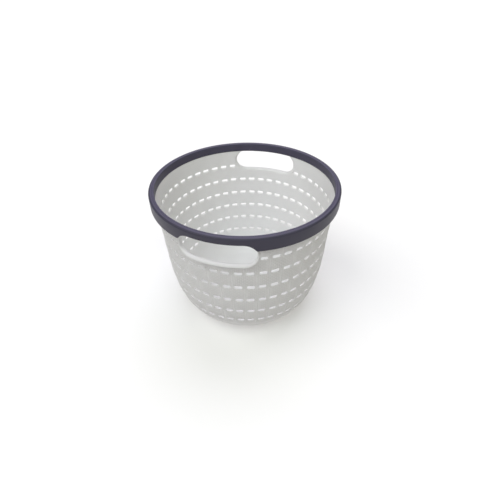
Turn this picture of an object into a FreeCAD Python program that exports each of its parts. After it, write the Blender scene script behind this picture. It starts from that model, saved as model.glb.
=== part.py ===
"""Round perforated storage basket with a separate rim band and two hand openings.

Units are millimetres. +Z is up, the origin is at the centre of the underside of
the foot ring, and the two hand openings face -Y and +Y.
"""
import FreeCAD
import Part
import math
import os

# Overall size
HEIGHT = 180.4
RIM_RADIUS = 115.5
WALL = 2.0

# Foot ring and floor
FOOT_RADIUS = 68.0
FOOT_WIDTH = 3.0
FOOT_HEIGHT = 2.2
FLOOR = 2.4

# Outside of the bowl from the foot ring up to the rim band, as (radius, height)
BOWL_OUTLINE = [
    (70.0, FOOT_HEIGHT),
    (83.4, 11.8),
    (92.8, 26.0),
    (98.6, 43.5),
    (102.3, 62.5),
    (104.6, 84.0),
    (106.5, 118.0),
    (108.3, 146.0),
    (109.5, 162.0),
]

# Slots stand in rings round the wall, in columns set evenly about each hand opening
COLUMNS = 48
ROW_HEIGHTS = [39.0, 60.0, 81.7, 103.7, 125.6, 147.4]
SLOT_ANGLE = 4.95
SLOT_HEIGHT = 4.2
SLOT_CORNER = 1.5
SLOT_CUT_DEPTH = 12.0
HANDLE_ANGLE = 25.0

# Rim band: a channel, open downwards, that is pressed over the top of the wall
BAND_TOP = 2.2
BAND_SKIRT = 16.0
BAND_INNER_SKIRT = 10.8
BAND_INNER_RADIUS = 108.9
BAND_INNER_WALL = 1.9
INNER_ROUNDING = 0.3
TOP_GROOVE_RADIUS = 110.9
TOP_GROOVE_WIDTH = 0.8
TOP_GROOVE_DEPTH = 0.4

# Rounded outer edge of the lip with its crease, as (radius, depth below the top)
LIP_EDGE = [
    (113.4, 0.0),
    (114.2, 0.15),
    (114.7, 0.45),
    (114.55, 0.95),
    (115.05, 0.8),
    (115.4, 1.5),
    (RIM_RADIUS, 2.1),
]

# Seat of the band on the wall, and the ridge that holds the band down
CLEARANCE = 0.2
SEAT_INNER_RADIUS = 111.0
SEAT_OUTER_RADIUS = 113.0
SEAT_FLARE_START = 163.0
SEAT_FLARE_END = 168.0
SNAP_HEIGHT = 174.6
SNAP_DEPTH = 0.5
SNAP_HALF_WIDTH = 1.0

# Hand openings: stadium outlines seen along Y, each framed by a collar on the wall
HANDLE_HEIGHT = 156.7
COLLAR_HALF_LENGTH = 44.9
COLLAR_HALF_HEIGHT = 15.7
COLLAR_LIP = 2.3
COLLAR_INNER_RADIUS = 107.9
COLLAR_FACE_RADIUS = 113.6

SEAT_TOP = HEIGHT - BAND_TOP - CLEARANCE
LEDGE = HEIGHT - BAND_INNER_SKIRT - CLEARANCE
Z_AXIS = FreeCAD.Vector(0, 0, 1)
CENTRE = FreeCAD.Vector(0, 0, 0)


def polyline(points):
    """Straight edges through (radius, height) points in the XZ plane."""
    nodes = [FreeCAD.Vector(r, 0, z) for r, z in points]
    return [Part.LineSegment(a, b).toShape() for a, b in zip(nodes, nodes[1:])]


def arc(start, middle, end):
    """Arc through three (x, z) points in the XZ plane."""
    points = [FreeCAD.Vector(x, 0, z) for x, z in (start, middle, end)]
    return Part.Arc(*points).toShape()


def smooth_curve(points):
    curve = Part.BSplineCurve()
    curve.interpolate([FreeCAD.Vector(r, 0, z) for r, z in points])
    return curve


def revolve(edges):
    face = Part.Face(Part.Wire(edges))
    return face.revolve(CENTRE, Z_AXIS, 360)


def cylinder(radius, low, high):
    return Part.makeCylinder(radius, high - low, FreeCAD.Vector(0, 0, low))


def inside_of(curve, distance, samples):
    """Points at one wall thickness inside the curve, in order."""
    first, last = curve.FirstParameter, curve.LastParameter
    points = []
    for i in range(samples):
        parameter = first + (last - first) * i / (samples - 1)
        at = curve.value(parameter)
        along = curve.tangent(parameter)[0]
        points.append((at.x - along.z * distance, at.z + along.x * distance))
    return points


def bowl_shell():
    """Foot ring, floor, bowl wall and the seat for the rim band, in one revolved shell."""
    outside = smooth_curve(BOWL_OUTLINE)
    floor_top = FOOT_HEIGHT + FLOOR
    inside_points = inside_of(outside, WALL, len(BOWL_OUTLINE))
    inside_points[0] = (inside_points[0][0], floor_top)
    inside_points.append((BAND_INNER_RADIUS - 0.3, LEDGE))
    inside = smooth_curve(inside_points)
    seat = polyline([
        BOWL_OUTLINE[-1],
        (BOWL_OUTLINE[-1][0], SEAT_FLARE_START),
        (SEAT_OUTER_RADIUS, SEAT_FLARE_END),
        (SEAT_OUTER_RADIUS, SNAP_HEIGHT - SNAP_HALF_WIDTH),
        (SEAT_OUTER_RADIUS + SNAP_DEPTH, SNAP_HEIGHT),
        (SEAT_OUTER_RADIUS, SNAP_HEIGHT + SNAP_HALF_WIDTH),
        (SEAT_OUTER_RADIUS, SEAT_TOP),
        (SEAT_INNER_RADIUS, SEAT_TOP),
        (SEAT_INNER_RADIUS, LEDGE),
        inside_points[-1],
    ])
    foot = polyline([
        inside_points[0],
        (0.0, floor_top),
        (0.0, FOOT_HEIGHT),
        (FOOT_RADIUS - FOOT_WIDTH, FOOT_HEIGHT),
        (FOOT_RADIUS - FOOT_WIDTH, 0.0),
        (FOOT_RADIUS, 0.0),
        (FOOT_RADIUS, FOOT_HEIGHT),
        BOWL_OUTLINE[0],
    ])
    return revolve([outside.toShape()] + seat + [inside.toShape()] + foot)


def stadium_block(grow, outwards):
    """Stadium prism along Y at a hand opening; outwards is -1 or +1 for its side."""
    half_height = COLLAR_HALF_HEIGHT + grow
    half_length = COLLAR_HALF_LENGTH + grow
    straight = half_length - half_height
    low = HANDLE_HEIGHT - half_height
    high = HANDLE_HEIGHT + half_height
    edges = polyline([(-straight, low), (straight, low)])
    edges.append(arc((straight, low), (half_length, HANDLE_HEIGHT), (straight, high)))
    edges += polyline([(straight, high), (-straight, high)])
    edges.append(arc((-straight, high), (-half_length, HANDLE_HEIGHT), (-straight, low)))
    face = Part.Face(Part.Wire(edges))
    return face.extrude(FreeCAD.Vector(0, outwards * (RIM_RADIUS + 10), 0))


def collar(outwards):
    """Frame round a hand opening, standing out from the wall to just inside the skirt's face."""
    low = HANDLE_HEIGHT - COLLAR_HALF_HEIGHT - 1
    ring = cylinder(COLLAR_FACE_RADIUS, low, SEAT_TOP).cut(cylinder(COLLAR_INNER_RADIUS, low, SEAT_TOP))
    below_seat = cylinder(SEAT_INNER_RADIUS, LEDGE, SEAT_TOP)
    return stadium_block(0.0, outwards).common(ring).cut(below_seat)


def slot_cutter(height, outside):
    """Rounded slot cutter, square to the wall at one row's height, in the XZ plane."""
    parameter = outside.parameter(FreeCAD.Vector(RIM_RADIUS, 0, height))
    at = outside.value(parameter)
    along = outside.tangent(parameter)[0]
    length = math.radians(SLOT_ANGLE) * (at.x - WALL / 2)
    block = Part.makeBox(SLOT_CUT_DEPTH, length, SLOT_HEIGHT,
                         FreeCAD.Vector(-SLOT_CUT_DEPTH / 2, -length / 2, -SLOT_HEIGHT / 2))
    corners = [edge for edge in block.Edges if abs(edge.tangentAt(edge.FirstParameter).x) > 0.9]
    cutter = block.makeFillet(SLOT_CORNER, corners)
    tilt = math.degrees(math.atan2(along.x, along.z))
    turn = FreeCAD.Rotation(FreeCAD.Vector(0, 1, 0), tilt)
    cutter.Placement = FreeCAD.Placement(FreeCAD.Vector(at.x, 0, height), turn)
    return cutter


def beside_handle(angle):
    """Angle in degrees from the nearer hand opening's middle, at -Y or +Y."""
    return 90.0 - abs(90.0 - (angle + 90.0) % 180.0)


def slot_cutters():
    outside = smooth_curve(BOWL_OUTLINE)
    step = 360.0 / COLUMNS
    cutters = []
    for height in ROW_HEIGHTS:
        row_cutter = slot_cutter(height, outside)
        for column in range(COLUMNS):
            angle = (column + 0.5) * step
            if height == ROW_HEIGHTS[-1] and beside_handle(angle) < HANDLE_ANGLE:
                continue
            cutter = row_cutter.copy()
            cutter.rotate(CENTRE, Z_AXIS, angle)
            cutters.append(cutter)
    return cutters


def basket_body():
    body = bowl_shell()
    for side in (-1, 1):
        body = body.fuse(collar(side))
        body = body.cut(stadium_block(-COLLAR_LIP, side))
    return body.cut(slot_cutters())


def rim_band():
    """Channel with a flat top, a creased round edge and skirts inside and out."""
    skirt_low = HEIGHT - BAND_SKIRT
    inner_low = HEIGHT - BAND_INNER_SKIRT
    under_top = HEIGHT - BAND_TOP
    channel_outer = SEAT_OUTER_RADIUS + CLEARANCE
    channel_inner = BAND_INNER_RADIUS + BAND_INNER_WALL
    snap_deep = channel_outer + SNAP_DEPTH
    lip_edge = [(radius, HEIGHT - depth) for radius, depth in LIP_EDGE]
    groove_in = TOP_GROOVE_RADIUS - TOP_GROOVE_WIDTH / 2
    groove_out = TOP_GROOVE_RADIUS + TOP_GROOVE_WIDTH / 2
    return revolve(polyline([
        (BAND_INNER_RADIUS, inner_low),
        (BAND_INNER_RADIUS, HEIGHT - INNER_ROUNDING),
        (BAND_INNER_RADIUS + INNER_ROUNDING, HEIGHT),
        (groove_in, HEIGHT),
        (TOP_GROOVE_RADIUS, HEIGHT - TOP_GROOVE_DEPTH),
        (groove_out, HEIGHT),
        *lip_edge,
        (RIM_RADIUS, skirt_low),
        (channel_outer, skirt_low),
        (channel_outer, SNAP_HEIGHT - SNAP_HALF_WIDTH - CLEARANCE),
        (snap_deep, SNAP_HEIGHT),
        (channel_outer, SNAP_HEIGHT + SNAP_HALF_WIDTH + CLEARANCE),
        (channel_outer, under_top),
        (channel_inner, under_top),
        (channel_inner, inner_low),
        (BAND_INNER_RADIUS, inner_low),
    ]))


def notched_rim_band():
    """The band, with its outer skirt cut away round each hand opening's collar."""
    band = rim_band()
    inside = cylinder(SEAT_INNER_RADIUS, 0, HEIGHT)
    for side in (-1, 1):
        band = band.cut(stadium_block(CLEARANCE, side).cut(inside))
    return band


def main():
    os.makedirs("parts", exist_ok=True)
    parts = {"basket_body": basket_body(), "rim_band": notched_rim_band()}
    for name, shape in parts.items():
        shape.exportStep(f"parts/{name}.step")
        print(name, shape.isValid(), len(shape.Solids), round(shape.Volume), shape.BoundBox)


main()
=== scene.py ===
"""Looks of the round storage basket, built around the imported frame.

Shape code works in millimetres and degrees, and Shell.make() turns its points into metres. Angles go
round from -Y towards +X, so the hand openings stand at 0 and 180. A place on the wall is (angle,
length), where length runs up the outside of the wall from the foot.
"""

import math

import bmesh
import bpy
import numpy as np
from mathutils import Euler, Matrix, Vector
from mathutils.geometry import delaunay_2d_cdt

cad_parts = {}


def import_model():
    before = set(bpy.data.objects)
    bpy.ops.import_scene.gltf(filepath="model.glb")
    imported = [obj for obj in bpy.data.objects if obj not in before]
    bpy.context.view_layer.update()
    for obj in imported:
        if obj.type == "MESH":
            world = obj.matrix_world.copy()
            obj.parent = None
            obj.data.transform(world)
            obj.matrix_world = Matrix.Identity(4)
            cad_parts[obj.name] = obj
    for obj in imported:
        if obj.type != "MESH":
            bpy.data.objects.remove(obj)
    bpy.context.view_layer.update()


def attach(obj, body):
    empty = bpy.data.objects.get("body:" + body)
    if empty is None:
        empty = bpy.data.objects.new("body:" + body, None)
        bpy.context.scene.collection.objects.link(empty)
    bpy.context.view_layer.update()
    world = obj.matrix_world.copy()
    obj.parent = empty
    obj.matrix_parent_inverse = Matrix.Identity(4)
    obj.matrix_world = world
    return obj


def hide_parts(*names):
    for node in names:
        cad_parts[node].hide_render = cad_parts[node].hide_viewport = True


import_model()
MM = 0.001

# The wall's thickness and the body's outlines as (radius, height) points: the CAD's, with edges rounded
WALL = 2.0
BOWL_OUTLINE = [
    (70.0, 2.2), (83.4, 11.8), (92.8, 26.0), (98.6, 43.5), (102.3, 62.5),
    (104.6, 84.0), (106.5, 118.0), (108.3, 146.0), (109.5, 162.0),
]
SEAT_OUTSIDE = [
    (109.5, 163.0), (111.25, 165.5), (113.0, 168.0), (113.0, 169.3), (113.0, 169.5),
    (113.0, 173.6), (113.5, 174.6), (113.0, 175.6), (113.0, 178.0),
]
SEAT_INSIDE = [
    (107.7, 163.0), (108.1, 165.5), (108.4, 168.0), (108.6, 169.3), (111.0, 169.5),
    (111.0, 173.6), (111.0, 174.6), (111.0, 175.6), (111.0, 178.0),
]
UNDERSIDE = [
    (69.1, 2.2), (68.3, 1.9), (68.0, 1.3), (68.0, 0.4), (67.6, 0.0), (65.4, 0.0), (65.0, 0.4),
    (65.0, 1.8), (64.6, 2.2), (52.0, 2.2), (34.0, 2.2), (14.0, 2.2), (4.0, 2.2), (2.4, 2.0), (2.2, 1.6),
]
FLOOR_INSIDE = [(70.2, 5.2), (67.6, 4.7), (65.0, 4.6), (52.0, 4.6), (34.0, 4.6), (14.0, 4.6), (4.0, 4.6)]
INSIDE_START = 3.6
OUTLINE_SAMPLES = 161

# Slots stand in rows down the wall; a column holds one slot and half the web on each side
COLUMNS = 48
STEP = 360.0 / COLUMNS
ROWS = [147.4, 125.6, 103.7, 81.7, 60.0, 39.0]
TOP_CELL_EDGE = 158.5
LOW_CELL_EDGE = 29.0
SLOT_ANGLE = 4.95
SLOT_HEIGHT = 4.2
SLOT_CORNER = 1.5
SLOT_CORNER_POINTS = 4
SLOT_EDGE = 0.3

# The outer ring of a slot stands a little to one side, in degrees, and higher than the inner one
SLOT_SHIFT = 0.29
SLOT_RISE = 0.8

# Painted shade on a slot's lower side faces and painted light on its end faces, as shares, where the
# ends begin at that share of its half length, and the share of the linen that is left at its outer rim
SLOT_LOW_PAINTED_SHADE = -0.06
SLOT_END_PAINTED_LIGHT = 0.2
SLOT_END_START = 0.75
SLOT_RIM_WEAVE = 0.5

# Relief of the woven outside: heights, widths, and where each part starts and is whole
ROW_RECESS = 0.22
STRAP_EDGE = (1.9, 4.6)
CROWN = 0.15
CROWN_EDGE = (2.0, 9.0)
GROOVE_DEPTH = 0.45
GROOVE_WIDTH = 0.5
SHOULDER = 0.1
SHOULDER_PLACE = 2.6
SHOULDER_WIDTH = 1.1
SHOULDER_BARE = 0.35
WEAVE_STARTS = (26.0, 33.0)
WEAVE_ENDS = (158.0, 161.0)
WEAVE_FROM_COLLAR = (1.0, 4.0)

# Hand openings: a collar's place and size, the gap to the band's notch, and how many degrees shorter the
# slots beside it are
HANDLE_HEIGHT = 156.7
HANDLE_COLUMNS = 4
COLLAR_HALF_LENGTH = 44.9
COLLAR_HALF_HEIGHT = 15.7
COLLAR_LIP = 2.3
COLLAR_FACE = 113.5
COLLAR_SIDE_TOP = 112.9
COLLAR_EDGE = 0.2
COLLAR_EDGE_INSET = 0.02
NOTCH_GAP = 0.2
SLOT_TRIM = 0.5

# Section of a collar: its foot's fillet, its lip's crown and how far its inner end is tucked in, each
# as it is at half height and what the sill below and the head above add to it, and the painted shade
# that darkens the lip along the sill
SILL_HEIGHTS = (141.5, 147.0)
HEAD_HEIGHTS = (160.0, 166.0)
SILL_PAINTED_SHADE = -0.2
FILLET = 0.5
FILLET_AT_HEAD = -0.35
FILLET_FADE = (160.0, 163.2)
FILLET_BEND = 0.3
LIP_CROWN = 109.8
LIP_CROWN_AT_HEAD = 2.1
LIP_START = math.radians(24.0)
LIP_START_INSET = 0.1
TUCK = -0.3
TUCK_AT_SILL = -1.43
TUCK_AT_HEAD = 1.5

# Where the mesh's lines stand: angles from a web's middle, and distances from a row's middle
FINE_ANGLES = [0.0, 0.16, 0.4, 0.85, 1.55, 2.45]
COARSE_ANGLES = [0.0, 1.9]
FINE_DISTANCES = [2.1, 3.3, 5.4]
COARSE_DISTANCES = [4.6]

# The wall is meshed as if it were flat, rolled off a cylinder of that radius. Lattice points nearer than
# a gap to a hole's rim are left out
FLAT_RADIUS = 108.0
SLOT_GAP = 0.5
HANDLE_GAP = 0.7

# Points along a straight and round a bend of a collar, rings across its lip and down the bowl's bottom
COLLAR_STRAIGHT_POINTS = 22
COLLAR_ROUND_POINTS = 14
LIP_RINGS = 7
BOTTOM_RINGS = 8
BOTTOM_START = 3.0

# Points nearer than MERGE are one point, and edges sharper than these, in degrees, stay sharp. Lattice
# points nearer than ON_EDGE to the lattice's edge lie on it, and PATCH_TOLERANCE is for flat triangles
MERGE = 0.002
ON_EDGE = 1e-9
PATCH_TOLERANCE = 1e-7
BODY_SHARP = 38.0
BAND_SHARP = 50.0


def natural_spline(points, samples):
    """Smooth curve through points, by a natural cubic in chord length."""
    points = np.array(points, float)
    t = np.concatenate([[0.0], np.cumsum(np.hypot(*np.diff(points, axis=0).T))])
    h = np.diff(t)
    n = len(t)
    matrix = np.eye(n)
    right = np.zeros((n, 2))
    for i in range(1, n - 1):
        matrix[i, i - 1:i + 2] = h[i - 1], 2 * (h[i - 1] + h[i]), h[i]
        right[i] = 6 * ((points[i + 1] - points[i]) / h[i] - (points[i] - points[i - 1]) / h[i - 1])
    bend = np.linalg.solve(matrix, right)
    at = np.linspace(0, t[-1], samples)
    k = np.clip(np.searchsorted(t, at, side="right") - 1, 0, n - 2)
    a = ((t[k + 1] - at) / h[k])[:, None]
    b = ((at - t[k]) / h[k])[:, None]
    square = (h[k] ** 2 / 6)[:, None]
    bulge = square * ((a ** 3 - a) * bend[k] + (b ** 3 - b) * bend[k + 1])
    return a * points[k] + b * points[k + 1] + bulge


def make_wall():
    """Stations up the wall: length along it, outside point, inside point and outward direction."""
    outside = natural_spline(BOWL_OUTLINE, OUTLINE_SAMPLES)
    along = np.gradient(outside, axis=0)
    along /= np.hypot(*along.T)[:, None]
    out = np.stack([along[:, 1], -along[:, 0]], 1)
    inside = outside - WALL * out
    outside = np.concatenate([outside, SEAT_OUTSIDE])
    inside = np.concatenate([inside, SEAT_INSIDE])
    out = np.concatenate([out, [(1.0, 0.0)] * len(SEAT_OUTSIDE)])
    length = np.concatenate([[0.0], np.cumsum(np.hypot(*np.diff(outside, axis=0).T))])
    return length, outside, inside, out


LENGTH, OUTSIDE, INSIDE, OUT = make_wall()


def between(table, s):
    return np.stack([np.interp(s, LENGTH, table[:, k]) for k in (0, 1)], -1)


def length_at(z):
    return np.interp(z, OUTSIDE[:, 1], LENGTH)


def inside_length_at(z):
    return np.interp(z, INSIDE[:, 1], LENGTH)


def turned(angle, radius, z):
    """Points from angles, radii and heights."""
    a = np.radians(angle)
    return np.stack(np.broadcast_arrays(radius * np.sin(a), -radius * np.cos(a), z), -1)


def smooth(x, low, high):
    t = np.clip((x - low) / (high - low), 0, 1)
    return t * t * (3 - 2 * t)


ROW_LENGTHS = length_at(np.array(ROWS))
SEAT_LENGTHS = LENGTH[-len(SEAT_OUTSIDE):]


def from_collar(angle, s):
    """How far outside the nearer collar's outline a point on the wall is."""
    r, z = np.moveaxis(between(OUTSIDE, s), -1, 0)
    near = (angle + 90.0) % 180.0 - 90.0
    x = np.abs(r * np.sin(np.radians(near)))
    straight = COLLAR_HALF_LENGTH - COLLAR_HALF_HEIGHT
    return np.hypot(np.maximum(x - straight, 0), z - HANDLE_HEIGHT) - COLLAR_HALF_HEIGHT


def pattern(angle, s):
    """The woven outside: how far it stands out from the plain wall, and how strong its linen texture is.
    Wide straps run between the slot rows, each split by grooves at every second web, and the slot rows
    are a little sunk."""
    angle, s = np.broadcast_arrays(np.asarray(angle, float), np.asarray(s, float))
    r, z = np.moveaxis(between(OUTSIDE, s), -1, 0)
    steps = ROW_LENGTHS.reshape((-1,) + (1,) * s.ndim) - s
    rows_above = (steps > 0).sum(0)
    to_row = np.abs(steps).min(0)
    web = np.round(angle / STEP)
    grooved = (web + rows_above) % 2 == 1
    to_web = np.abs(angle - web * STEP) * np.radians(1) * r
    strap = smooth(to_row, *STRAP_EDGE)
    groove = np.where(grooved, np.exp(-(to_web / GROOVE_WIDTH) ** 2), 0)
    shoulder = np.where(grooved, np.exp(-((to_web - SHOULDER_PLACE) / SHOULDER_WIDTH) ** 2), 0)
    lift = ROW_RECESS + CROWN * smooth(to_row, *CROWN_EDGE) - GROOVE_DEPTH * groove + SHOULDER * shoulder
    fade = smooth(z, *WEAVE_STARTS) * (1 - smooth(z, *WEAVE_ENDS))
    fade = fade * smooth(from_collar(angle, s), *WEAVE_FROM_COLLAR)
    bare = np.maximum(groove, SHOULDER_BARE * shoulder * strap)
    return (strap * lift - ROW_RECESS) * fade, fade * (1 - bare)


class Shell:
    """Gathers points and faces of one closed moulding, then makes the object."""

    def __init__(self):
        self.points = []
        self.weave = []
        self.along = []
        self.tone = []
        self.faces = []

    def add(self, points, weave=0.0, along=0.0, tone=0.0):
        """Takes points of any array shape and gives back their numbers in the same shape. weave is how
        strong the linen texture is there, along is the length up the wall, and the last is painted light
        and
        shade: the share by which the plastic is painted lighter there, or darker when it is below zero."""
        points = np.asarray(points, float)
        shape = points.shape[:-1]
        start = len(self.points)
        self.points.extend(points.reshape(-1, 3).tolist())
        self.weave.extend(np.broadcast_to(weave, shape).reshape(-1).tolist())
        self.along.extend(np.broadcast_to(along, shape).reshape(-1).tolist())
        self.tone.extend(np.broadcast_to(tone, shape).reshape(-1).tolist())
        return np.arange(start, len(self.points)).reshape(shape)

    def grid(self, numbers, closed=False):
        """Four-sided faces over a table of point numbers, closed across its columns if asked."""
        rows, columns = numbers.shape
        for i in range(rows - 1):
            for j in range(columns if closed else columns - 1):
                k = (j + 1) % columns
                self.faces.append((numbers[i, j], numbers[i, k], numbers[i + 1, k], numbers[i + 1, j]))

    def fan(self, loop, centre):
        """Triangles from a closed loop of points to one centre point."""
        for a, b in zip(loop, np.roll(loop, -1)):
            self.faces.append((a, b, centre))

    def patch(self, flat, numbers, loops=()):
        """Triangles between flat points, leaving out the inside of each loop of places in the list."""
        edges = [edge for loop in loops for edge in zip(loop, np.roll(loop, -1))]
        edges = [(int(a), int(b)) for a, b in edges]
        found = delaunay_2d_cdt([Vector(p) for p in flat], edges, [], 0, PATCH_TOLERANCE)
        origin = [o[0] for o in found[3]]
        triangles = np.array([[origin[i] for i in f] for f in found[2]])
        middles = flat[triangles].mean(1)
        for loop in loops:
            keep = ~inside_loop(middles, flat[loop])
            triangles, middles = triangles[keep], middles[keep]
        self.faces.extend(map(tuple, numbers[triangles]))

    def make(self, name, material, sharp):
        """The object, smooth except at edges sharper than that many degrees."""
        mesh = bpy.data.meshes.new(name)
        points = np.array(self.points) * MM
        mesh.from_pydata(points.tolist(), [], [tuple(map(int, f)) for f in self.faces])
        for label, values in (("weave", self.weave), ("along", self.along), ("tone", self.tone)):
            attribute = mesh.attributes.new(label, "FLOAT", "POINT")
            attribute.data.foreach_set("value", np.array(values, np.float32))
        work = bmesh.new()
        work.from_mesh(mesh)
        bmesh.ops.remove_doubles(work, verts=work.verts, dist=MERGE * MM)
        bmesh.ops.recalc_face_normals(work, faces=work.faces)
        work.to_mesh(mesh)
        work.free()
        mesh.shade_smooth()
        mesh.set_sharp_from_angle(angle=math.radians(sharp))
        mesh.materials.append(material)
        piece = bpy.data.objects.new(name, mesh)
        bpy.context.scene.collection.objects.link(piece)
        return piece


def inside_loop(points, loop):
    """Which points lie inside a closed flat loop, by counting the edges to their right."""
    ends = np.roll(loop, -1, axis=0)
    x, y = points[:, None, 0], points[:, None, 1]
    across = (loop[:, 1] > y) != (ends[:, 1] > y)
    rise = np.where(ends[:, 1] == loop[:, 1], 1.0, ends[:, 1] - loop[:, 1])
    at = loop[:, 0] + (y - loop[:, 1]) / rise * (ends[:, 0] - loop[:, 0])
    return (across & (x < at)).sum(1) % 2 == 1


def near_loop(points, loop, margin):
    """Which points lie inside a closed flat loop or within margin of it."""
    ends = np.roll(loop, -1, axis=0)
    edge = ends - loop
    from_start = points[:, None] - loop
    t = np.clip((from_start * edge).sum(-1) / (edge ** 2).sum(-1), 0, 1)
    away = np.linalg.norm(from_start - t[..., None] * edge, axis=-1).min(1)
    return inside_loop(points, loop) | (away < margin)


def outside_point(angle, s, sink=0.0):
    """A point on the woven outside, or that far under it."""
    lift = (pattern(angle, s)[0] - sink)[..., None]
    r, z = np.moveaxis(between(OUTSIDE, s) + lift * between(OUT, s), -1, 0)
    return turned(angle, r, z)


def inside_point(angle, s, sink=0.0):
    """A point on the plain inside, or that far into the wall."""
    r, z = np.moveaxis(between(INSIDE, s) + sink * between(OUT, s), -1, 0)
    return turned(angle, r, z)


def slot_outline(half_length, grow):
    """Rounded slot outline as (along, up) points, grown by that much."""
    a, b, c = half_length + grow, SLOT_HEIGHT / 2 + grow, SLOT_CORNER + grow
    points = []
    for side_x, side_y, first in ((1, 1, 0), (-1, 1, 90), (-1, -1, 180), (1, -1, 270)):
        for turn in np.radians(first + np.linspace(0, 90, SLOT_CORNER_POINTS)):
            points.append((side_x * (a - c) + c * math.cos(turn), side_y * (b - c) + c * math.sin(turn)))
        if side_x == side_y:
            points.append((0.0, side_y * b))
    return np.array(points)


def slot_rings(row, middle, trim=(0.0, 0.0), shift=0.0):
    """The outline of a slot at four depths as (angle, length) points: outer rim, outer edge, inner edge
    and inner rim. trim shortens its two ends, and shift moves the outer two, by that many degrees."""
    s = ROW_LENGTHS[row]
    degree = np.radians(1) * (between(OUTSIDE, s)[0] - WALL / 2)
    half = (SLOT_ANGLE - sum(trim)) / 2
    middle = middle + (trim[0] - trim[1]) / 2
    wide, narrow = slot_outline(half * degree, SLOT_EDGE), slot_outline(half * degree, 0.0)
    depths = ((wide, shift, SLOT_RISE), (narrow, shift, SLOT_RISE), (narrow, 0.0, 0.0), (wide, 0.0, 0.0))
    return [np.stack([middle + offset + flat[:, 0] / degree, s + rise + flat[:, 1]], 1)
            for flat, offset, rise in depths]


def slot_sides(shell, rings):
    """Adds the slot's side faces and gives back the numbers of its outer and inner rims."""
    (a1, s1), (a2, s2), (a3, s3), (a4, s4) = [ring.T for ring in rings]
    # Painted shade on the slot's lower side faces and painted light on its end faces
    low = np.clip(2 * (s2.mean() - s2) / SLOT_HEIGHT, 0, 1)
    from_middle = 2 * np.abs(a2 - a2.mean()) / np.ptp(a2)
    end = np.clip((from_middle - SLOT_END_START) / (1 - SLOT_END_START), 0, 1) * (1 - low)
    tone = SLOT_LOW_PAINTED_SHADE * low + SLOT_END_PAINTED_LIGHT * end
    numbers = np.stack([
        shell.add(outside_point(a1, s1), pattern(a1, s1)[1] * SLOT_RIM_WEAVE, s1),
        shell.add(outside_point(a2, s2, SLOT_EDGE), tone=tone),
        shell.add(inside_point(a3, s3, SLOT_EDGE), tone=tone),
        shell.add(inside_point(a4, s4)),
    ])
    shell.grid(numbers, closed=True)
    return numbers[0], numbers[-1]


def lines_in_column(offsets):
    """Angles across one column, from -half to half of it, close together next to the webs."""
    low = [-STEP / 2 + x for x in offsets]
    return np.array(low + [0.0] + [-x for x in reversed(low)])


def lines_in_row(row, distances):
    """Lengths across one row of cells, close together next to the slots."""
    s = ROW_LENGTHS[row]
    high = length_at(TOP_CELL_EDGE) if row == 0 else (s + ROW_LENGTHS[row - 1]) / 2
    low = length_at(LOW_CELL_EDGE) if row == len(ROWS) - 1 else (s + ROW_LENGTHS[row + 1]) / 2
    last = distances[-1]
    below = [low, (low + s - last) / 2] + [s - d for d in reversed(distances)]
    above = [s + d for d in distances] + [(high + s + last) / 2, high]
    return np.array(below + [s] + above)


def lattice(angles, lengths):
    """Every pair of those angles and lengths, one length after another."""
    a, s = np.meshgrid(angles, lengths)
    return np.stack([a.reshape(-1), s.reshape(-1)], 1)


def flattened(points):
    """(angle, length) points with both in about the same unit."""
    return points * [np.radians(1) * FLAT_RADIUS, 1.0]


def with_holes(shell, points, edge, holes, place, gap):
    """One patch of wall through lattice points, with holes whose rims are already in the shell. edge says
    which lattice points have to stay because the next patch has them too."""
    flat = flattened(points)
    keep = np.ones(len(points), bool)
    for ring, _ in holes:
        keep &= edge | ~near_loop(flat, flattened(ring), gap)
    points = points[keep]
    numbers = [place(points[:, 0], points[:, 1])]
    flats = [flattened(points)]
    loops = []
    count = len(points)
    for ring, rim in holes:
        loops.append(np.arange(count, count + len(ring)))
        count += len(ring)
        numbers.append(rim)
        flats.append(flattened(ring))
    shell.patch(np.concatenate(flats), np.concatenate(numbers), loops)


def on_border(points):
    """Which points of a lattice lie on its outer edge."""
    low, high = points.min(0), points.max(0)
    return (np.abs(points - low) < ON_EDGE).any(1) | (np.abs(points - high) < ON_EDGE).any(1)


def add_cell(shell, row, column):
    """One slot with the wall round it, outside and inside."""
    middle = (column + 0.5) * STEP
    shift = SLOT_SHIFT if (column + row + 1) % 2 else -SLOT_SHIFT
    rings = slot_rings(row, middle, shift=shift)
    outer_rim, inner_rim = slot_sides(shell, rings)
    outer = lattice(middle + lines_in_column(FINE_ANGLES), lines_in_row(row, FINE_DISTANCES))
    inner = lattice(middle + lines_in_column(COARSE_ANGLES), lines_in_row(row, COARSE_DISTANCES))
    with_holes(shell, outer, on_border(outer), [(rings[0], outer_rim)], outer_wall(shell), SLOT_GAP)
    with_holes(shell, inner, on_border(inner), [(rings[3], inner_rim)], inner_wall(shell), SLOT_GAP)


def outer_wall(shell):
    """A function that adds points on the woven outside and gives back their numbers."""
    return lambda angle, s: shell.add(outside_point(angle, s), pattern(angle, s)[1], s)


def inner_wall(shell):
    """A function that adds points on the inside and gives back their numbers."""
    return lambda angle, s: shell.add(inside_point(angle, s))


def collar_outline():
    """Points round the collar's outline as (x, z), with the directions to its inside."""
    radius = COLLAR_HALF_HEIGHT
    straight = COLLAR_HALF_LENGTH - radius
    along = np.linspace(-straight, straight, COLLAR_STRAIGHT_POINTS + 1)[:-1]
    turn = np.radians(np.linspace(-90, 90, COLLAR_ROUND_POINTS + 1)[:-1])
    right = np.stack([straight + radius * np.cos(turn), radius * np.sin(turn)], 1)
    points = np.concatenate([
        np.stack([along, np.full_like(along, -radius)], 1),
        right,
        np.stack([-along, np.full_like(along, radius)], 1),
        -right,
    ])
    core = np.stack([np.clip(points[:, 0], -straight, straight), np.zeros(len(points))], 1)
    inward = (core - points) / radius
    return points + (0.0, HANDLE_HEIGHT), inward


def inner_radius(z):
    return np.interp(z, INSIDE[:, 1], INSIDE[:, 0])


def outer_radius(z):
    return np.interp(z, OUTSIDE[:, 1], OUTSIDE[:, 0])


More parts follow.
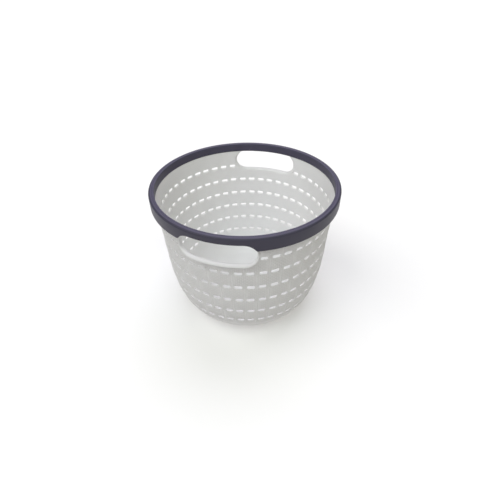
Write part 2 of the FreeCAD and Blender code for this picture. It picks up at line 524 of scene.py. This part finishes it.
def collar_rings():
    """The collar's section swept round its outline: foot on the wall, side, edge, bull-nosed lip, and the
    end on the inside of the wall. Each ring is (x, z, radius, painted shade) per outline point, and the
    painted shade darkens the lip along the sill."""
    outline, inward = collar_outline()
    z = outline[:, 1]
    sill = 1 - smooth(z, *SILL_HEIGHTS)
    head = smooth(z, *HEAD_HEIGHTS)
    fillet = FILLET + FILLET_AT_HEAD * smooth(z, *FILLET_FADE)
    crown = LIP_CROWN + LIP_CROWN_AT_HEAD * head
    tuck = TUCK + TUCK_AT_SILL * sill + TUCK_AT_HEAD * head
    steps = []

    def step(inset, radius, tone=0.0):
        x, height = (outline + inward * np.reshape(inset, (-1, 1))).T
        steps.append((x, height, np.broadcast_to(radius, x.shape), tone * sill))

    foot = outer_radius(z)
    step(-fillet, outer_radius(z - inward[:, 1] * fillet))
    step(-FILLET_BEND * fillet, foot + FILLET_BEND * fillet)
    step(0 * z, foot + fillet)
    step(0 * z, COLLAR_SIDE_TOP)
    step(0 * z + COLLAR_EDGE_INSET, COLLAR_FACE - COLLAR_EDGE)
    across = (COLLAR_FACE - crown) / math.cos(LIP_START)
    reach = COLLAR_LIP / (1 - math.sin(LIP_START))
    # The lip's rings carry painted shade along the sill
    for turn in np.linspace(LIP_START, math.pi / 2, LIP_RINGS):
        inset = COLLAR_LIP - reach * (1 - math.sin(turn)) + LIP_START_INSET * (turn == LIP_START)
        step(inset, crown + across * math.cos(turn), SILL_PAINTED_SHADE)
    end = inner_radius((outline + inward * tuck[:, None])[:, 1])
    for turn in np.linspace(math.pi / 2, math.pi, LIP_RINGS + 1)[1:]:
        inset = COLLAR_LIP - (COLLAR_LIP - tuck) * (1 - math.sin(turn))
        step(inset, crown + (crown - end) * math.cos(turn), SILL_PAINTED_SHADE * math.sin(turn))
    return steps


def prism_point(x, z, radius):
    """A point at x and z on a cylinder of that radius, on the front side."""
    return np.stack([x, -np.sqrt(radius ** 2 - x ** 2), z], -1)


def add_handle(shell, facing):
    """The wall round one hand opening and the collar that frames it."""
    turn = np.array(Matrix.Rotation(math.radians(facing), 3, "Z"))
    steps = collar_rings()
    numbers = np.stack([shell.add(prism_point(x, z, radius) @ turn.T, tone=tone)
                        for x, z, radius, tone in steps])
    shell.grid(numbers, closed=True)
    (x, z, radius, _), (x_in, z_in, radius_in, _) = steps[0], steps[-1]
    outer_hole = np.stack([facing + np.degrees(np.arcsin(x / radius)), length_at(z)], 1)
    inner_hole = np.stack([facing + np.degrees(np.arcsin(x_in / radius_in)), inside_length_at(z_in)], 1)
    outer_holes = [(outer_hole, numbers[0])]
    inner_holes = [(inner_hole, numbers[-1])]
    for side in (-1, 1):
        middle = facing + side * (HANDLE_COLUMNS - 0.5) * STEP
        trim = (SLOT_TRIM, 0.0) if side > 0 else (0.0, SLOT_TRIM)
        rings = slot_rings(0, middle, trim, side * SLOT_SHIFT)
        outer_rim, inner_rim = slot_sides(shell, rings)
        outer_holes.append((rings[0], outer_rim))
        inner_holes.append((rings[3], inner_rim))
    for offsets, distances, holes, place in (
        (FINE_ANGLES, FINE_DISTANCES, outer_holes, outer_wall(shell)),
        (COARSE_ANGLES, COARSE_DISTANCES, inner_holes, inner_wall(shell)),
    ):
        middles = [facing + (c + 0.5) * STEP for c in range(-HANDLE_COLUMNS, HANDLE_COLUMNS)]
        angles = np.unique(np.round([middle + lines_in_column(offsets) for middle in middles], 9))
        lengths = np.concatenate([lines_in_row(0, distances), SEAT_LENGTHS])
        points = lattice(angles, lengths)
        with_holes(shell, points, on_border(points), holes, place, HANDLE_GAP)


def beside_handle(column):
    """True if the column crosses a hand opening's patch of wall."""
    return (column + HANDLE_COLUMNS) % (COLUMNS // 2) < 2 * HANDLE_COLUMNS


def add_seat(shell, column):
    """The top of the wall over one column, which the rim band sits on."""
    middle = (column + 0.5) * STEP
    lengths = np.concatenate([[length_at(TOP_CELL_EDGE)], SEAT_LENGTHS])
    for offsets, place in ((FINE_ANGLES, outer_wall(shell)), (COARSE_ANGLES, inner_wall(shell))):
        points = lattice(middle + lines_in_column(offsets), lengths)
        shell.grid(place(*points.T).reshape(len(lengths), -1))


def add_rim(shell, column):
    """The narrow top face of the wall over one column."""
    middle = (column + 0.5) * STEP
    fine = middle + lines_in_column(FINE_ANGLES)
    coarse = middle + lines_in_column(COARSE_ANGLES)
    outer = outer_wall(shell)(fine, np.full_like(fine, LENGTH[-1]))
    inner = inner_wall(shell)(coarse, np.full_like(coarse, LENGTH[-1]))
    flat = np.concatenate([np.stack([fine, 0 * fine + 1], 1), np.stack([coarse, 0 * coarse], 1)])
    shell.patch(flat, np.concatenate([outer, inner]))


def add_bottom(shell):
    """The bowl under the lowest slots, the foot ring and the floor."""
    per_column = lines_in_column(COARSE_ANGLES)
    angles = np.concatenate([(c + 0.5) * STEP + per_column[:-1] for c in range(COLUMNS)])
    top = float(length_at(LOW_CELL_EDGE))
    lengths = np.linspace(top - BOTTOM_START, 0.0, BOTTOM_RINGS)
    for column in range(COLUMNS):
        middle = (column + 0.5) * STEP
        fine, coarse = middle + lines_in_column(FINE_ANGLES), middle + per_column
        points = np.concatenate([
            np.stack([fine, np.full_like(fine, top)], 1),
            np.stack([coarse, np.full_like(coarse, lengths[0])], 1),
        ])
        shell.patch(flattened(points), outer_wall(shell)(*points.T))
    outside = [outer_wall(shell)(angles, np.full_like(angles, s)) for s in lengths]
    outside += [shell.add(turned(angles, r, z)) for r, z in UNDERSIDE]
    shell.grid(np.stack(outside), closed=True)
    shell.fan(outside[-1], shell.add((0.0, 0.0, UNDERSIDE[-1][1])))
    inner_lengths = np.concatenate([[top], lengths[:-1], [INSIDE_START]])
    inside = [inner_wall(shell)(angles, np.full_like(angles, s)) for s in inner_lengths]
    inside += [shell.add(turned(angles, r, z)) for r, z in FLOOR_INSIDE]
    shell.grid(np.stack(inside), closed=True)
    shell.fan(inside[-1], shell.add((0.0, 0.0, FLOOR_INSIDE[-1][1])))


def basket_body(material):
    """The light moulding: wall with slots, collars, seat for the band, floor and foot ring."""
    shell = Shell()
    for column in range(COLUMNS):
        for row in range(len(ROWS)):
            if row or not beside_handle(column):
                add_cell(shell, row, column)
        if not beside_handle(column):
            add_seat(shell, column)
        add_rim(shell, column)
    add_handle(shell, 0.0)
    add_handle(shell, 180.0)
    add_bottom(shell)
    return shell.make("basket_moulding", material, BODY_SHARP)


# Rim band: a channel open downwards, its outer skirt notched round each collar. The points are (radius,
# height), from the inner skirt's foot over the top, and (radius, height over the foot) for the skirt
BAND_OVER = [
    (110.5, 169.6), (109.15, 169.6), (108.9, 169.85), (108.9, 172.0), (108.9, 176.0), (108.9, 180.05),
    (109.0, 180.3), (109.25, 180.4), (110.6, 180.4), (110.8, 180.2), (110.95, 180.0), (111.1, 180.2),
    (111.3, 180.4), (112.8, 180.4), (113.4, 180.39), (113.94, 180.32), (114.35, 180.18), (114.62, 180.02),
    (114.72, 179.9), (114.68, 179.78), (114.6, 179.62), (114.62, 179.5), (114.78, 179.55), (114.95, 179.62),
    (115.06, 179.57), (115.24, 179.28), (115.41, 178.82), (115.49, 178.4), (115.5, 177.9),
]
BAND_SKIRT = [
    (115.5, 2.6), (115.48, 0.5), (115.4, 0.15), (115.15, 0.0), (113.6, 0.0), (113.3, 0.1), (113.2, 0.5),
]
BAND_CHANNEL = [
    (113.2, 173.4), (113.7, 174.6), (113.2, 175.8), (113.2, 178.0), (113.0, 178.2), (111.0, 178.2),
    (110.8, 178.0), (110.8, 169.9),
]
SKIRT_FOOT = 164.4
SKIRT_RADIUS = 115.5
CORNER_ROUNDING = 0.8

# Angles of the band's lines in a quarter turn as (from, to, step), close together round the notches
BAND_LINES = [(0, 12, 1.5), (12, 21, 0.75), (21, 24, 0.25), (24, 90, 1.5)]

# Painted light on the band, where it is painted lighter: its top, fading out towards the lip's edge, and
# its inner skirt
BAND_TOP_LOW = 180.1
BAND_TOP_EDGE = 114.2
BAND_TOP_FADE = 1.4
BAND_INNER_EDGE = 109.3
BAND_TOP_PAINTED_LIGHT = 0.95
BAND_INNER_PAINTED_LIGHT = 0.4


def skirt_foot(angle):
    """Height of the outer skirt's lower edge, which goes up round the collars."""
    x = np.abs(SKIRT_RADIUS * np.sin(np.radians(angle)))
    radius = COLLAR_HALF_HEIGHT + NOTCH_GAP
    over = np.maximum(x - (COLLAR_HALF_LENGTH - COLLAR_HALF_HEIGHT), 0)
    notch = HANDLE_HEIGHT + np.sqrt(np.maximum(radius ** 2 - over ** 2, 0))
    gap = notch - SKIRT_FOOT
    return SKIRT_FOOT + 0.5 * (gap + np.sqrt(gap ** 2 + CORNER_ROUNDING ** 2))


def band_painted_light(radius, z):
    """Painted light: how much lighter the band is painted there than its outer skirt, most on its top and
    some on its inner skirt.
    """
    if z > BAND_TOP_LOW:
        return BAND_TOP_PAINTED_LIGHT * min(max((BAND_TOP_EDGE - radius) / BAND_TOP_FADE, 0), 1)
    return BAND_INNER_PAINTED_LIGHT if radius < BAND_INNER_EDGE else 0.0


def rim_band(material):
    """The dark moulding, swept round in one closed section."""
    quarter = np.concatenate([np.arange(*line) for line in BAND_LINES])
    half = np.concatenate([quarter, 180 - quarter[:0:-1], [90.0]])
    half.sort()
    angles = np.concatenate([half, half + 180.0])
    foot = skirt_foot(angles)
    shell = Shell()
    rings = [shell.add(turned(angles, r, z), tone=band_painted_light(r, z)) for r, z in BAND_OVER]
    rings += [shell.add(turned(angles, r, foot + up)) for r, up in BAND_SKIRT]
    rings += [shell.add(turned(angles, r, z)) for r, z in BAND_CHANNEL]
    shell.grid(np.stack(rings + rings[:1]), closed=True)
    return shell.make("rim_band_moulding", material, BAND_SHARP)


class Nodes:
    """Short names for building a material's node tree."""

    def __init__(self, name):
        self.material = bpy.data.materials.new(name)
        self.material.use_nodes = True
        self.tree = self.material.node_tree
        self.shader = self.tree.nodes["Principled BSDF"]

    def node(self, kind, inputs=None, **settings):
        made = self.tree.nodes.new(kind)
        for key, value in settings.items():
            setattr(made, key, value)
        for key, value in (inputs or {}).items():
            self.feed(made.inputs[key], value)
        return made

    def feed(self, socket, value):
        if isinstance(value, bpy.types.NodeSocket):
            self.tree.links.new(value, socket)
        else:
            socket.default_value = value

    def math(self, operation, *values):
        return self.node("ShaderNodeMath", dict(enumerate(values)), operation=operation).outputs[0]

    def attribute(self, name):
        return self.node("ShaderNodeAttribute", attribute_name=name).outputs["Fac"]

    def noise(self, scale, detail):
        place = self.node("ShaderNodeTexCoord").outputs["Object"]
        inputs = {"Vector": place, "Scale": scale, "Detail": detail}
        return self.node("ShaderNodeTexNoise", inputs).outputs[0]

    def ramp(self, value, low, high):
        """A colour between low and high, by a value from 0 to 1."""
        mix = self.node("ShaderNodeMix", data_type="RGBA")
        self.feed(mix.inputs["Factor"], value)
        self.feed(mix.inputs["A"], (*low, 1.0))
        self.feed(mix.inputs["B"], (*high, 1.0))
        return mix.outputs["Result"]

    def with_painted_shading(self, color):
        """The colour made lighter by painted light and darker by painted shade, both read from a mesh
        attribute.
        """
        scale = self.math("ADD", self.attribute("tone"), 1.0)
        scaled = self.node("ShaderNodeVectorMath", {0: color, "Scale": scale}, operation="SCALE")
        return scaled.outputs["Vector"]

    def bump(self, height, distance, under=None):
        inputs = {"Height": height, "Distance": distance}
        if under:
            inputs["Normal"] = under
        return self.node("ShaderNodeBump", inputs).outputs[0]


# Linen: threads round the basket, millimetres from thread to thread up the wall, how strong they are in
# colour, and their relief in metres
THREADS_ROUND = 288
THREAD_PITCH = 2.2
WARP_SHARE = 0.5
LINEN_GAIN = 0.17
THREAD_HEIGHT = 0.00009

# Noise textures as (scale, detail), and heights of fine relief in metres
PATCHES = (45.0, 3.0)
SKIN = (700.0, 2.0)
SKIN_HEIGHT = 0.00003
BAND_MOTTLE = (60.0, 4.0)
BAND_WEAR = (120.0, 3.0)
BAND_GRAIN = (900.0, 2.0)
BAND_GRAIN_HEIGHT = 0.00004

# Shine: plain roughness, and what the patches and the linen add to it
BODY_ROUGHNESS, PATCH_ROUGHNESS, LINEN_ROUGHNESS = 0.36, 0.1, 0.14
BAND_ROUGHNESS, WEAR_ROUGHNESS, BAND_SPECULAR = 0.38, 0.12, 0.28
PAPER_ROUGHNESS, PAPER_SPECULAR = 0.9, 0.1

# Base colours
BODY_DARK, BODY_LIGHT = (0.78, 0.78, 0.78), (0.81, 0.81, 0.81)
LINEN_LOW, LINEN_HIGH = (0.868, 0.868, 0.863), (0.978, 0.978, 0.971)
BAND_DARK, BAND_LIGHT = (0.046, 0.0425, 0.066), (0.054, 0.0505, 0.078)
PAPER = (0.92, 0.92, 0.92)


def body_material():
    """Light satin plastic: linen texture outside, faintly uneven and glossier inside."""
    n = Nodes("light_plastic")
    place = n.node("ShaderNodeSeparateXYZ", {0: n.node("ShaderNodeTexCoord").outputs["Object"]}).outputs
    angle = n.math("ARCTAN2", place["X"], n.math("MULTIPLY", place["Y"], -1.0))
    along = n.attribute("along")
    weave = n.attribute("weave")
    round_half = n.math("MULTIPLY", angle, THREADS_ROUND / 2)
    up_half = n.math("MULTIPLY", along, math.pi / THREAD_PITCH)
    warp = n.math("MULTIPLY", n.math("COSINE", n.math("MULTIPLY", round_half, 2.0)), WARP_SHARE)
    weft = n.math("COSINE", n.math("MULTIPLY", up_half, 2.0))
    over = n.math("MULTIPLY", n.math("COSINE", round_half), n.math("COSINE", up_half))
    threads = n.math("MULTIPLY", n.math("ADD", n.math("ADD", warp, weft), over), weave)
    patches = n.noise(*PATCHES)
    plain = n.ramp(patches, BODY_DARK, BODY_LIGHT)
    linen = n.ramp(n.math("MULTIPLY_ADD", threads, LINEN_GAIN, 0.5), LINEN_LOW, LINEN_HIGH)
    shade = n.node("ShaderNodeMix", data_type="RGBA", blend_type="MULTIPLY")
    n.feed(shade.inputs["Factor"], weave)
    n.feed(shade.inputs["A"], plain)
    n.feed(shade.inputs["B"], linen)
    # The plastic's colour, with the painted light and shade of the slots and the sill applied
    n.feed(n.shader.inputs["Base Color"], n.with_painted_shading(shade.outputs["Result"]))
    rough = n.math("MULTIPLY_ADD", patches, PATCH_ROUGHNESS, BODY_ROUGHNESS)
    n.feed(n.shader.inputs["Roughness"], n.math("MULTIPLY_ADD", weave, LINEN_ROUGHNESS, rough))
    skin = n.bump(n.noise(*SKIN), SKIN_HEIGHT)
    n.feed(n.shader.inputs["Normal"], n.bump(threads, THREAD_HEIGHT, skin))
    return n.material


def band_material():
    """Dark plum satin plastic with a fine, faint grain."""
    n = Nodes("dark_plastic")
    mottled = n.ramp(n.noise(*BAND_MOTTLE), BAND_DARK, BAND_LIGHT)
    # The band's colour, with the painted light on its top and inner skirt applied
    n.feed(n.shader.inputs["Base Color"], n.with_painted_shading(mottled))
    n.feed(n.shader.inputs["Specular IOR Level"], BAND_SPECULAR)
    rough = n.math("MULTIPLY_ADD", n.noise(*BAND_WEAR), WEAR_ROUGHNESS, BAND_ROUGHNESS)
    n.feed(n.shader.inputs["Roughness"], rough)
    n.feed(n.shader.inputs["Normal"], n.bump(n.noise(*BAND_GRAIN), BAND_GRAIN_HEIGHT))
    return n.material


def light(name, towards, spread, energy, color):
    """A soft, far-off lamp in that direction from the basket, spread over that many degrees of sky."""
    data = bpy.data.lights.new(name, "SUN")
    data.angle = math.radians(spread)
    data.energy = energy
    data.color = color
    lamp = bpy.data.objects.new(name, data)
    lamp.location = towards
    lamp.rotation_euler = Vector(towards).to_track_quat("Z", "Y").to_euler()
    bpy.context.scene.collection.objects.link(lamp)


# The stage and the camera, in metres, with steps and turns in degrees and the lens in millimetres
FLOOR_HALF, FLOOR_HEIGHT = 6.0, -0.0001
BACKDROP_RADIUS, BACKDROP_HEIGHT, COVE_RADIUS = 5.5, 6.0, 1.5
BACKDROP_STEP, COVE_STEP = 5.0, 10.0
CAMERA_PLACE = (0.11477, -0.38012, 0.40189)
CAMERA_TURN = (51.8012, 0.4612, 15.2113)
CAMERA_LENS = 27.71
CAMERA_SHIFT = (-0.0263, -0.0004)
CAMERA_CLIP = (0.01, 30.0)


def paper():
    """Plain pale paper, for the floor and the backdrop."""
    n = Nodes("floor_paper")
    n.feed(n.shader.inputs["Base Color"], (*PAPER, 1.0))
    n.feed(n.shader.inputs["Roughness"], PAPER_ROUGHNESS)
    n.feed(n.shader.inputs["Specular IOR Level"], PAPER_SPECULAR)
    return n.material


def stage_piece(name, points, faces, material):
    """A piece of the stage. It throws no diffuse light back and no shadow: the lamp under the basket
    stands for the light that white paper throws back."""
    mesh = bpy.data.meshes.new(name)
    mesh.from_pydata(points, [], faces)
    mesh.materials.append(material)
    piece = bpy.data.objects.new(name, mesh)
    bpy.context.scene.collection.objects.link(piece)
    piece.visible_diffuse = False
    piece.visible_shadow = False
    return piece


def floor(material):
    low, high = -FLOOR_HALF, FLOOR_HALF
    corners = [(low, low), (high, low), (high, high), (low, high)]
    stage_piece("floor", [(x, y, FLOOR_HEIGHT) for x, y in corners], [(0, 1, 2, 3)], material)


def backdrop(material):
    """A pale wall all round, far away, with a coved foot. Only the camera sees it."""
    turns = np.radians(np.arange(0.0, 360.0, BACKDROP_STEP))
    cove = np.radians(np.arange(0.0, 90.0 + COVE_STEP / 2, COVE_STEP))
    middle = BACKDROP_RADIUS - COVE_RADIUS
    section = [(middle + COVE_RADIUS * math.sin(t), COVE_RADIUS * (1 - math.cos(t))) for t in cove]
    section.append((BACKDROP_RADIUS, BACKDROP_HEIGHT))
    points = [(r * math.cos(t), r * math.sin(t), z) for r, z in section for t in turns]
    count = len(turns)
    faces = []
    for first in range(0, len(points) - count, count):
        for j in range(count):
            k = (j + 1) % count
            faces.append((first + j, first + k, first + count + k, first + count + j))
    wall = stage_piece("backdrop", points, faces, material)
    wall.data.shade_smooth()
    wall.visible_glossy = False


def camera():
    data = bpy.data.cameras.new("camera")
    data.lens = CAMERA_LENS
    data.shift_x, data.shift_y = CAMERA_SHIFT
    data.clip_start, data.clip_end = CAMERA_CLIP
    eye = bpy.data.objects.new("camera", data)
    turn = Euler([math.radians(angle) for angle in CAMERA_TURN]).to_matrix()
    eye.matrix_world = Matrix.Translation(CAMERA_PLACE) @ turn.to_4x4()
    bpy.context.scene.collection.objects.link(eye)
    bpy.context.scene.camera = eye


def world(strength):
    """An even white sky, so faint that it only fills the deepest shade."""
    sky = bpy.data.worlds.new("studio")
    sky.use_nodes = True
    background = sky.node_tree.nodes["Background"]
    background.inputs["Color"].default_value = (1.0, 1.0, 1.0, 1.0)
    background.inputs["Strength"].default_value = strength
    bpy.context.scene.world = sky


SKY = 0.06

# Each lamp's direction, spread in degrees, strength and colour
LAMPS = {
    "high_front": ((0.1, -0.6, 1.0), 50.0, 0.86, (0.90, 0.99, 1.0)),
    "high_left": ((-0.9, -0.5, 1.2), 50.0, 1.22, (1.0, 0.985, 0.94)),
    "front": ((0.2, -1.0, 0.8), 60.0, 0.64, (1.0, 0.975, 0.97)),
    "high_back": ((0.0, 0.5, 1.0), 50.0, 1.42, (0.94, 0.91, 1.0)),
    "right": ((1.0, -0.2, 0.9), 50.0, 0.38, (1.0, 0.95, 0.66)),
    "under": ((0.0, 0.0, -1.0), 140.0, 1.95, (1.0, 0.965, 0.945)),
}

body = basket_body(body_material())
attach(body, "root")
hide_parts("basket_body")
band = rim_band(band_material())
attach(band, "root")
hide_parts("rim_band")

pale = paper()
floor(pale)
backdrop(pale)
camera()
world(SKY)
for name, (towards, spread, energy, color) in LAMPS.items():
    light(name, towards, spread, energy, color)
bpy.context.scene.view_settings.view_transform = "Standard"
